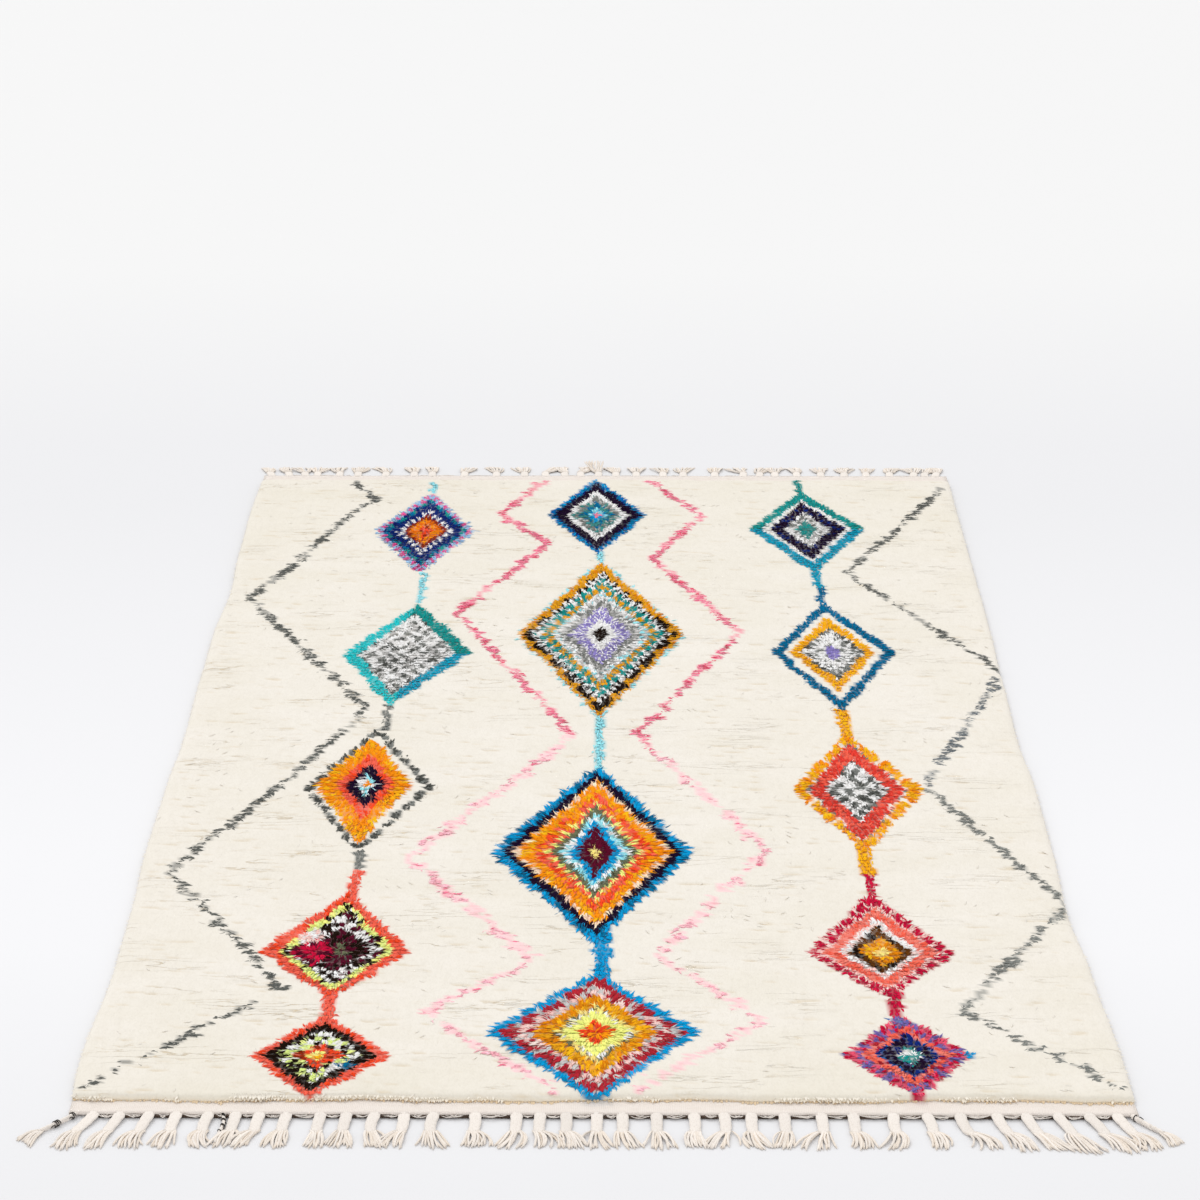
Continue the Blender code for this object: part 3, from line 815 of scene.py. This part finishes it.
def figure_tufts(name, group):
    """The locks of one column of lozenges or of the lines. A knot's locks draw together at their tips."""
    own = np.flatnonzero((groups == group) & (wools != UNDYED))
    lines = group == LINES
    if lines:
        own = own[(draw.random(len(own)) < LINE_SHARE) & (wools[own] != DYE_NAMES.index("blush"))]
    count = len(own)
    knot = each[own]
    if lines:
        # To one side of the line or the other
        combed = np.column_stack([draw.choice([-1.0, 1.0], count), np.full(count, -0.35)])
        long = np.full(count, LINE_LOCKS)
    else:
        combed = spots[own] - figures[own, :2]
        combed /= np.maximum(np.linalg.norm(combed, axis=1, keepdims=True), 0.02)
        long = figures[own, 2]
    combed = combed + COMBED_NEAR + knot_lean[knot] + draw.normal(0, 0.14, (count, 2))
    combed /= np.linalg.norm(combed, axis=1, keepdims=True)
    starts = spots[own] - combed * long[:, None] * BEHIND
    tips = (1 - GATHERED) * spots[own] + GATHERED * knots[knot]
    ends = tips + combed * (long * (1 - BEHIND) * knot_reach[knot] * draw.uniform(0.8, 1.2, count))[:, None]
    roots = np.column_stack([starts, np.full(count, LINE_ROOT if lines else LOCK_ROOT)])
    tone = LOCK_TONE + knot_tone[knot] + draw.normal(0, 0.09, count)
    colours = DYE_COLOURS[wools[own]] * tone[:, None]
    tip_height = (LINE_TIP if lines else LOCK_TIP) + draw.normal(0, 0.0003 if lines else 0.0006, count)
    part = locks(
        roots,
        ends - starts,
        np.linalg.norm(ends - starts, axis=1),
        tip_height,
        LOCK_WIDTH * draw.uniform(0.75, 1.2, count),
        colours,
        LINE_PLUMP if lines else LOCK_PLUMP,
    )
    add_piece(name, [part], wool, "rug", smooth=False)


figure_tufts("tufts_left_lozenges", LEFT)
figure_tufts("tufts_centre_lozenges", CENTRE)
figure_tufts("tufts_right_lozenges", RIGHT)
figure_tufts("tufts_zigzag_lines", LINES)


def cream_wisps():
    """Undyed ends: hanging over both sides, a ragged lip over each band, and a few loose on the ground."""
    roots, ways, reach, tips, width, tone = [], [], [], [], [], []

    def scatter(x, y, z, way_x, way_y, long, tip_z, wide, tint=(1, 1, 1)):
        count = len(x)
        roots.append(np.column_stack([x, y, np.broadcast_to(z, count)]))
        ways.append(np.column_stack([np.broadcast_to(way_x, count), np.broadcast_to(way_y, count)]))
        reach.append(np.broadcast_to(long, count))
        tips.append(np.broadcast_to(tip_z, count))
        width.append(np.broadcast_to(wide, count))
        tone.append((1 + draw.normal(0, 0.02, (count, 1))) * tint)

    for outward, column in ((-1, 1), (1, 2)):
        for inset, root_z, tip_z in SIDE_ROWS:
            y = np.arange(PILE_FRONT + 0.004, PILE_BACK - 0.004, SIDE_STEP)
            y = y + draw.normal(0, 0.0012, len(y))
            x = between(SIDES, y, column) - outward * inset
            long = inset + draw.uniform(-0.001, 0.0060, len(y))
            scatter(x, y, root_z, outward, draw.normal(0, 0.35, len(y)), long, tip_z, SIDE_WIDTH)
    for end, outward, step in ((PILE_FRONT, -1, 0.0026), (PILE_BACK, 1, 0.0050)):
        left = float(between(SIDES, end, 1)) + 0.004
        right = float(between(SIDES, end, 2)) - 0.004
        # Each row's tint is painted light on the lip, or in the lowest row painted shade under it
        for inward, root_z, tip_z, ahead, tint, bare in LIP_ROWS:
            x = np.arange(left, right, step) + draw.uniform(-0.5, 0.5) * step
            x = x + draw.normal(0, 0.0010, len(x))
            # The upper rows stand out only in stretches
            x = x[waves(x, 0 * x, 0.12, 1, 44) + draw.normal(0, 0.4, len(x)) > bare]
            y = end - outward * (inward + draw.uniform(-0.003, 0.004, len(x))) + end_wave(x)
            ragged = ahead + inward * 0.4 + 0.0022 * waves(x, 0 * x, 0.020, 1, 41)
            long = np.clip(ragged + draw.normal(0, 0.0012, len(x)), 0.006, 0.018)
            scatter(x, y, root_z, draw.normal(0, 0.35, len(x)), outward, long, tip_z, LIP_WIDTH, tint)
    shown = draw.random(len(knots)) < WISP_SHARE
    loose = np.flatnonzero((groups[::LOCKS_A_KNOT] == GROUND) & shown)
    x, y = knots[loose].T
    scatter(
        x,
        y,
        WISP_ROOT,
        0.8 * waves(x, y, 0.20, 0.15, 42),
        -0.5 + 0.3 * waves(x, y, 0.2, 0.2, 43),
        draw.uniform(0.012, 0.022, len(x)),
        WISP_TIP + draw.normal(0, 0.0003, len(x)),
        WISP_WIDTH,
    )
    tone = np.concatenate(tone)
    part = locks(
        np.concatenate(roots),
        np.concatenate(ways),
        np.concatenate(reach),
        np.concatenate(tips),
        np.concatenate(width),
        CREAM * tone,
        WISP_PLUMP,
    )
    add_piece("wisps_cream", [part], wool, "rug", smooth=False)


cream_wisps()

# --- Plaits and tassels -----------------------------------------------------------------------------------
# Beyond each band the warp ends are gathered and plaited flat for about 40 mm, then left loose as tassels of
# fourteen cords. The plaits slope down from the band's edge, and the tassels fan out on the floor.
PLAIT_WIDTH = 0.0230
FRONT_REACH = 0.098
BACK_REACH = 0.0844
TASSEL_WIDTH = 0.040
HEADER_DEPTH = 0.0056
FRONT_FIRST = -0.926
FRONT_PITCHES = (
    (48, 53, 50, 58, 50, 43, 49, 62, 47, 51, 54)
    + (53, 76, 75, 43, 47, 56, 46, 62, 68, 55, 49)
    + (60, 67, 58, 73, 61, 60, 67, 53, 58, 56, 51)
)
BACK_FIRST = -0.955
BACK_PITCHES = (
    (50, 46, 34, 63, 52, 80, 82, 52, 91, 92, 80)
    + (62, 55, 45, 49, 51, 58, 77, 57, 91, 80)
    + (46, 46, 62, 69, 66, 63, 68, 66, 34, 29)
)  # millimetres from plait to plait
FRONT_SPLAY = ((-0.93, -0.58), (-0.87, -0.36), (-0.77, -0.12), (0.50, 0.04), (0.72, 0.36), (0.94, 0.48))
BACK_SPLAY = ((-0.96, -0.30), (-0.80, -0.06), (0.80, 0.06), (0.95, 0.22))
FRONT_REACHES = ((-0.93, 1.04), (-0.60, 0.98), (0.00, 1.00), (0.60, 1.02), (0.88, 1.13), (0.94, 1.04))
BACK_REACHES = ((-0.96, 0.94), (-0.30, 1.00), (-0.02, 1.004), (0.30, 0.98), (0.95, 0.95))
PLAIT_SPINE = (
    (-0.12, 0.0076, 0.60, 0.0016),
    (-0.04, 0.0074, 1.00, 0.0034),
    (0.02, 0.0068, 1.00, 0.0040),
    (0.09, 0.0061, 0.99, 0.0044),
    (0.16, 0.0055, 0.97, 0.0046),
    (0.23, 0.0047, 0.96, 0.0046),
    (0.30, 0.0037, 0.95, 0.0046),
    (0.37, 0.0030, 0.93, 0.0046),
    (0.44, 0.0027, 0.86, 0.0048),
    (0.47, 0.0028, 0.72, 0.0048),
    (0.50, 0.0029, 0.40, 0.0030),
)  # share of the reach, height of the middle, share of the width, thickness
PLAIT_BEAT = 2.4  # radians from one station of the spine to the next
CORDS_A_TASSEL = 14
CORD_ACROSS = 0.0043
CORD_SWELL = np.array([0.75, 0.95, 1.0, 1.05, 1.05, 1.0, 0.55])
CORD_SHARES = (0.415, 0.50, 0.59, 0.70, 0.81, 0.92, 1.00)
COTTON = linear(243, 235, 227)
HOLLOW = np.array([0.08, 0.12, 0.18])  # light lost by a cord that lies under others
# Dark brown twining cord, also standing in for the shadow under the band's raised edge: part cord, part
# painted shadow
TWINE_AND_SHADOW = linear(66, 50, 40)
BLACK = linear(38, 34, 32)
UPTURNED_AT = -0.026  # one tassel of the far end stands up against the pile
UPTURN = 0.019
# The twining cord is sized to fill the shadow under the band's free edge
TWINE_WIDE = 0.0056
TWINE_TALL = 0.0060
TWINE_HEIGHT = 0.0034
WEFTS_A_GAP = 4
WEFT_WIDE = 0.0017
WEFT_TALL = 0.0014
PLY_TURN = 0.021  # length of one turn of the plies
WRAP_PITCH = 0.0024
THREAD = 0.0019
EXTRA_AT = -0.690  # a thin cord between two plaits of the near end
EXTRA_LENGTH = 0.085
EXTRA_RADIUS = 0.0042
EXTRA_WRAPS = ((0.003, 3), (0.018, 2), (0.034, 2), (0.052, 1))  # place along it, turns of thread


def yarn_cotton():
    """Soft undyed cotton: short wandering fibre marks and a little grey painted shade in the hollows."""
    material, tree, shader, dye_and_painted_light, place = new_material("undyed cotton yarn", 0.9, 0.1)
    fibre = noise(tree, place, 520, (1, 0.4, 1), 2.0)
    shade = spread(tree, fibre, 0.30, 0.52, 0.22, 0.0)
    colour = tinted(tree, dye_and_painted_light.outputs["Color"], shade, linear(176, 160, 146))
    tree.links.new(colour, shader.inputs["Base Color"])
    raised(tree, shader, fibre, 0.0007)
    return material


def tubes(spines, wides, talls, sides, colours):
    """Closed cords along spines given as tube, section, xyz. Colours go by tube or by tube and section."""
    count, sections = spines.shape[:2]
    heading = np.gradient(spines, axis=1)
    heading /= np.linalg.norm(heading, axis=2, keepdims=True)
    across = np.cross(heading, np.array([0, 0, 1.0]))
    across /= np.linalg.norm(across, axis=2, keepdims=True)
    above = np.cross(across, heading)
    turn = 2 * np.pi * (np.arange(sides) + 0.5) / sides
    wide = across[:, :, None] * (np.cos(turn)[:, None] * wides[:, :, None, None] / 2)
    tall = above[:, :, None] * (np.sin(turn)[:, None] * talls[:, :, None, None] / 2)
    points = spines[:, :, None] + wide + tall
    i = np.arange(sides)
    j = (i + 1) % sides
    band = np.column_stack([i, j, j + sides, i + sides])
    skin = np.concatenate([band + section * sides for section in range(sections - 1)])
    first = np.arange(count)[:, None, None] * sides * sections
    walls = (first + skin).reshape(-1, 4)
    starts = (first + i[None, ::-1]).reshape(-1, sides)
    ends = (first + i[None, :] + (sections - 1) * sides).reshape(-1, sides)
    if colours.ndim == 2:
        colours = colours[:, None, :]
    dye_and_painted_light = np.broadcast_to(colours[:, :, None, :], points.shape)
    return points.reshape(-1, 3), dye_and_painted_light.reshape(-1, 3), [walls, starts, ends]


cotton = yarn_cotton()


def plait_parts(band_edge, outward, first, pitches, usual_reach, splays, reaches, draw):
    """Every plait and tassel along one end. outward is -1 at the front and 1 behind."""
    roots = first + np.concatenate([[0], np.cumsum(pitches) / 1000])
    count = len(roots)
    reach = usual_reach * between(reaches, roots)
    splay = between(splays, roots)
    start_y = band_edge + outward * HEADER_DEPTH
    spine = np.array(PLAIT_SPINE)
    bow = draw.normal(0, 0.0012, count)[:, None] * np.sin(np.pi * np.clip(spine[:, 0] / 0.45, 0, 1))

    def along(shares):
        x = roots[:, None] + splay[:, None] * reach[:, None] * np.clip(shares, 0, None)
        return x, start_y + outward * reach[:, None] * shares

    x, y = along(spine[:, 0])
    spines = np.stack([x + bow, y, np.broadcast_to(spine[:, 1], x.shape)], axis=2)
    # A flat plait swells to one side and then the other
    beat = np.arange(len(spine)) * PLAIT_BEAT
    wides = PLAIT_WIDTH * spine[:, 2] * (1 + 0.05 * np.sin(beat + draw.uniform(0, 6, count)[:, None]))
    talls = spine[:, 3] * (1 + 0.10 * np.cos(beat + draw.uniform(0, 6, count)[:, None]))
    tone = 0.94 + draw.normal(0, 0.02, (count, 1))
    parts = [tubes(spines, wides, talls, 10, COTTON * tone)]

    shares = np.array(CORD_SHARES)
    gone = (shares - shares[0]) / (shares[-1] - shares[0])
    spines, wides, talls, colours = [], [], [], []
    middles_x, middles_y = along(shares)
    for number in range(count):
        middle_x = middles_x[number]
        middle_y = middles_y[number]
        fan = draw.uniform(0.8, 1.45)
        lean = draw.normal(0, 0.013)
        sweep = draw.normal(0, 0.010)
        full = draw.uniform(0.94, 1.02)
        upturned = UPTURN if outward > 0 and abs(roots[number] - UPTURNED_AT) < 0.03 else 0.0
        for cord in range(CORDS_A_TASSEL):
            side = (cord + 0.5) / CORDS_A_TASSEL * 2 - 1 + draw.normal(0, 0.06)
            from_x = side * PLAIT_WIDTH * 0.50
            to_x = (side + draw.normal(0, 0.20)) * TASSEL_WIDTH * 0.56 * fan + lean
            curl = draw.normal(0, 0.0030) * np.sin(np.pi * gone) + sweep * gone * (1 - gone) * 2
            x = middle_x + from_x + (to_x - from_x) * gone**0.9 + curl
            length = full * draw.uniform(0.82, 1.00)
            y = middle_y[0] + (middle_y - middle_y[0]) * length * (1 - 0.14 * side**2)
            over = draw.uniform(0, 1)
            arch = 0.0048 * np.sin(np.pi * np.clip(gone * 1.1, 0, 1)) * over
            z = 0.0032 + arch - 0.0011 * gone + upturned * gone**2
            wide = CORD_ACROSS * draw.uniform(0.85, 1.15)
            spines.append(np.column_stack([x, y, np.maximum(z, wide * CORD_SWELL * 0.43)]))
            wides.append(wide * CORD_SWELL)
            talls.append(wide * CORD_SWELL * 0.85)
            shade = np.interp(gone, [0, 0.15, 1], [0.90, 1.0, 1.0])[:, None]
            under = 1 - (1 - over) * HOLLOW
            colours.append(COTTON * (1 + draw.normal(0, 0.035)) * under * shade)
    parts.append(tubes(np.array(spines), np.array(wides), np.array(talls), 6, np.array(colours)))
    return parts, roots


def frayed_parts(band_edge, outward, roots, draw):
    """Along the band's free edge from plait to plait: a dark twining cord below, so large that it also stands
    as painted shadow under the edge, and loose weft threads above.
    """
    spines, wides, talls, colours = [], [], [], []
    steps = np.linspace(0, 1, 7)
    count = len(steps)
    bow = np.sin(np.pi * steps)
    taper = np.array([0.5, 1, 1, 1, 1, 1, 0.5])
    for left, right in zip(roots, roots[1:]):
        start = left + PLAIT_WIDTH * 0.36
        end = right - PLAIT_WIDTH * 0.36
        x = start + (end - start) * steps
        y = band_edge + outward * (0.0026 + draw.normal(0, 0.0003, count))
        spines.append(np.column_stack([x, y, np.full(count, TWINE_HEIGHT)]))
        wides.append(np.full(count, TWINE_WIDE))
        talls.append(np.full(count, TWINE_TALL))
        colours.append(TWINE_AND_SHADOW * draw.uniform(0.7, 1.3))
        for _ in range(WEFTS_A_GAP):
            near = start + draw.uniform(0, 0.45) * (end - start)
            far = end - draw.uniform(0, 0.45) * (end - start)
            x = near + (far - near) * steps
            bulge = draw.uniform(0.0010, 0.0050) * bow
            y = band_edge + outward * (0.0030 + bulge + draw.normal(0, 0.0004, count))
            z = BAND_LIFT + draw.uniform(0.0010, 0.0042) - draw.uniform(0, 0.0026) * bow
            spines.append(np.column_stack([x, y, z]))
            wides.append(WEFT_WIDE * draw.uniform(0.8, 1.4) * taper)
            talls.append(WEFT_TALL * taper)
            colours.append(COTTON * draw.uniform(0.85, 1.0))
    return [tubes(np.array(spines), np.array(wides), np.array(talls), 5, np.array(colours))]


def bound_parts(route, upto, radius, turn_side, wraps):
    """Three plies twisted along a route, and black thread wound round them at each wrap, with a loose end."""
    outward = np.linspace(0, upto, 15)
    twist = outward / PLY_TURN * 2 * np.pi
    spines = []
    for ply in range(3):
        angle = twist + ply * 2 * np.pi / 3
        ring = np.column_stack([np.cos(angle) * 0.6, np.cos(angle) * 0.5, np.sin(angle)]) * radius * 0.46
        spines.append(route(outward) + ring)
    thick = np.interp(outward, [0, upto * 0.7, upto], [1.0, 0.92, 0.80]) * radius * 1.22
    thick = np.broadcast_to(thick, (3, len(outward)))
    spines = np.array(spines)
    spines[:, :, 2] = np.maximum(spines[:, :, 2], thick / 2)
    tone = np.array([[1.0], [0.95], [0.90]])
    parts = [tubes(spines, thick, thick, 7, COTTON * tone)]
    for place, turns in wraps:
        steps = np.linspace(0, 1, 10 * turns + 1)
        angle = steps * turns * 2 * np.pi
        ring = np.column_stack([np.cos(angle) * 0.8, np.cos(angle) * 0.6 * turn_side, np.sin(angle)])
        thread = route(place + WRAP_PITCH * turns * steps) + ring * radius * 1.12
        tail = thread[-1] + np.column_stack([
            np.linspace(0, 0.009, 5) * turn_side,
            np.linspace(0, -0.003, 5),
            np.array([0, 0.0015, 0.001, -0.001, -0.002]),
        ])
        for spine in (thread, tail):
            spine[:, 2] = np.maximum(spine[:, 2], 0.0010)
            wide = np.full((1, len(spine)), THREAD)
            parts.append(tubes(spine[None], wide, wide, 5, BLACK[None]))
    return parts


front_edge = PILE_FRONT - BAND_DEPTH
back_edge = PILE_BACK + BAND_DEPTH


def extra_route(out):
    """The thin cord's middle: almost straight, sinking to the floor."""
    x = EXTRA_AT + 0.004 * np.sin(out * 60)
    return np.stack([x, front_edge - out, 0.0062 - out * 0.035], axis=-1)


draw = np.random.default_rng(17)
front_parts, front_roots = plait_parts(
    front_edge, -1, FRONT_FIRST, FRONT_PITCHES, FRONT_REACH, FRONT_SPLAY, FRONT_REACHES, draw
)
front_parts += frayed_parts(front_edge, -1, front_roots, draw)
front_parts += bound_parts(extra_route, EXTRA_LENGTH, EXTRA_RADIUS, -1, EXTRA_WRAPS)
back_parts, back_roots = plait_parts(
    back_edge, 1, BACK_FIRST, BACK_PITCHES, BACK_REACH, BACK_SPLAY, BACK_REACHES, draw
)
back_parts += frayed_parts(back_edge, 1, back_roots, draw)
fringe_front = add_piece("plaits_front", front_parts, cotton, "fringe_front")
fringe_back = add_piece("plaits_back", back_parts, cotton, "fringe_back")

# --- Corner cords -----------------------------------------------------------------------------------------
# At each front corner the edge warps are bound into a short cord, wrapped in places with black thread, that
# runs out over the floor and ends in a tassel of its own.
CORD_RADIUS = 0.0052
CORD_INSET = 0.014
CORD_STATIONS = (
    (0.000, 0.0000, 0.0062),
    (0.012, 0.0160, 0.0060),
    (0.028, 0.0340, 0.0052),
    (0.042, 0.0480, 0.0046),
    (0.056, 0.0640, 0.0044),
    (0.066, 0.0860, 0.0021),
)  # sideways, outward, height of the middle
BOUND_UPTO = 0.048  # outward, where the tassel begins


def corner_cord(name, side, tip_x, cords, wraps, draw):
    """side is -1 at the left. tip_x is how far out the tassel ends, and cords is their number in it."""
    start = float(between(SIDES, front_edge, 1 if side < 0 else 2)) - side * CORD_INSET
    stretch = (tip_x - abs(start)) / CORD_STATIONS[-1][0]
    stations = np.array(CORD_STATIONS)

    def route(outward):
        """The cord's middle at this way out from the band."""
        sideways = np.interp(outward, stations[:, 1], stations[:, 0])
        height = np.interp(outward, stations[:, 1], stations[:, 2])
        x = start + side * sideways * stretch
        return np.stack([x, front_edge - 0.0003 - outward, height], axis=-1)

    parts = bound_parts(route, BOUND_UPTO + 0.004, CORD_RADIUS, side, wraps)
    # The loose end
    spines, wides, colours = [], [], []
    steps = np.linspace(0, 1, 7)
    base = route(BOUND_UPTO + (stations[-1, 1] - BOUND_UPTO) * steps)
    heading = base[-1] - base[0]
    across = np.array([-heading[1], heading[0], 0]) / math.hypot(heading[0], heading[1])
    for cord in range(cords):
        share = (cord + 0.5) / cords * 2 - 1 + draw.normal(0, 0.05)
        sway = draw.normal(0, 0.0015) * np.sin(np.pi * steps)
        spread_out = share * (0.0034 + 0.0010 * cords * steps**0.9) + sway
        length = draw.uniform(0.86, 1.0)
        points = base[0] + (base - base[0]) * length + across * spread_out[:, None]
        wide = 0.0038 * np.array([0.8, 1, 1, 1, 1, 0.95, 0.5])
        over = draw.uniform(0, 1)
        lift = 0.0034 * np.sin(np.pi * np.clip(steps * 1.1, 0, 1)) * over
        points[:, 2] = np.maximum(np.interp(steps, [0, 1], [0.0044, 0.0018]) + lift, wide * 0.45)
        spines.append(points)
        wides.append(wide)
        colours.append(COTTON * (1 - (1 - over) * HOLLOW) * (1 + draw.normal(0, 0.03)))
    wides = np.array(wides)
    parts.append(tubes(np.array(spines), wides, wides * 0.85, 6, np.array(colours)))
    return add_piece(name, parts, cotton, name.replace("bound_", ""))


cord_left = corner_cord("bound_corner_cord_left", -1, 1.040, 18, ((0.003, 2), (0.026, 3)), draw)
cord_right = corner_cord("bound_corner_cord_right", 1, 1.029, 12, ((0.006, 1),), draw)

# --- Studio -----------------------------------------------------------------------------------------------
# The rug lies on a white studio floor under broad soft light. Far behind it the floor takes the paler tone
# of the backdrop. The camera stands at the near end, above eye level.
CAMERA_AT = (0.009, -5.856, 2.913)
CAMERA_DOWN = 23.80
CAMERA_TURN = 0.197
CAMERA_LENS = 84.0
BACKDROP_FROM = 1.9
BACKDROP_TO = 3.6
FLOOR_HALF = 60
FLOOR_LIGHT_POOL = ((-1.95, -1.0), (-0.6, 1.4))  # along the rug: where a painted pool of light makes the floor grow paler, where it darkens again
SUN_STRENGTH = 0.80
SKY_STRENGTH = 0.96

camera_data = bpy.data.cameras.new("studio camera")
camera_data.lens = CAMERA_LENS
camera_data.sensor_width = 36
camera_data.clip_end = 300
camera = bpy.data.objects.new("studio camera", camera_data)
camera.location = CAMERA_AT
camera.rotation_euler = (math.radians(90 - CAMERA_DOWN), 0, math.radians(CAMERA_TURN))
bpy.context.scene.collection.objects.link(camera)
bpy.context.scene.camera = camera

floor_material = bpy.data.materials.new("white studio floor")
floor_material.use_nodes = True
tree = floor_material.node_tree
shader = tree.nodes["Principled BSDF"]
shader.inputs["Roughness"].default_value = 0.8
shader.inputs["Specular IOR Level"].default_value = 0.1
place = tree.nodes.new("ShaderNodeNewGeometry")
split = tree.nodes.new("ShaderNodeSeparateXYZ")
tree.links.new(place.outputs["Position"], split.inputs[0])
beyond = spread(tree, split.outputs["Y"], BACKDROP_FROM, BACKDROP_TO)
near = spread(tree, split.outputs["Y"], *FLOOR_LIGHT_POOL[0])
far = spread(tree, split.outputs["Y"], *FLOOR_LIGHT_POOL[1], 1.0, 0.0)
paint = tree.nodes.new("ShaderNodeRGB")
paint.outputs[0].default_value = (*linear(226, 226, 228), 1)
# A painted pool of light: the floor is paler alongside the rug
painted_light_pool = maths(tree, "MULTIPLY", near, far)
colour = tinted(tree, paint.outputs[0], painted_light_pool, linear(234, 234, 236))
colour = tinted(tree, colour, beyond, linear(232, 232, 232))
tree.links.new(colour, shader.inputs["Base Color"])
floor_mesh = bpy.data.meshes.new("studio floor")
corners = [(-FLOOR_HALF, -FLOOR_HALF, 0), (FLOOR_HALF, -FLOOR_HALF, 0)]
corners += [(FLOOR_HALF, FLOOR_HALF, 0), (-FLOOR_HALF, FLOOR_HALF, 0)]
floor_mesh.from_pydata(corners, [], [(0, 1, 2, 3)])
floor_mesh.materials.append(floor_material)
floor = bpy.data.objects.new("studio floor", floor_mesh)
bpy.context.scene.collection.objects.link(floor)

sun_data = bpy.data.lights.new("soft broad light", "SUN")
sun_data.energy = SUN_STRENGTH
sun_data.angle = math.radians(35)
sun = bpy.data.objects.new("soft broad light", sun_data)
sun.rotation_euler = (math.radians(-38), math.radians(-22), 0)
bpy.context.scene.collection.objects.link(sun)

world = bpy.data.worlds.new("even white light")
world.use_nodes = True
world.node_tree.nodes["Background"].inputs["Color"].default_value = (1, 1, 1, 1)
world.node_tree.nodes["Background"].inputs["Strength"].default_value = SKY_STRENGTH
bpy.context.scene.world = world
bpy.context.scene.view_settings.view_transform = "Standard"
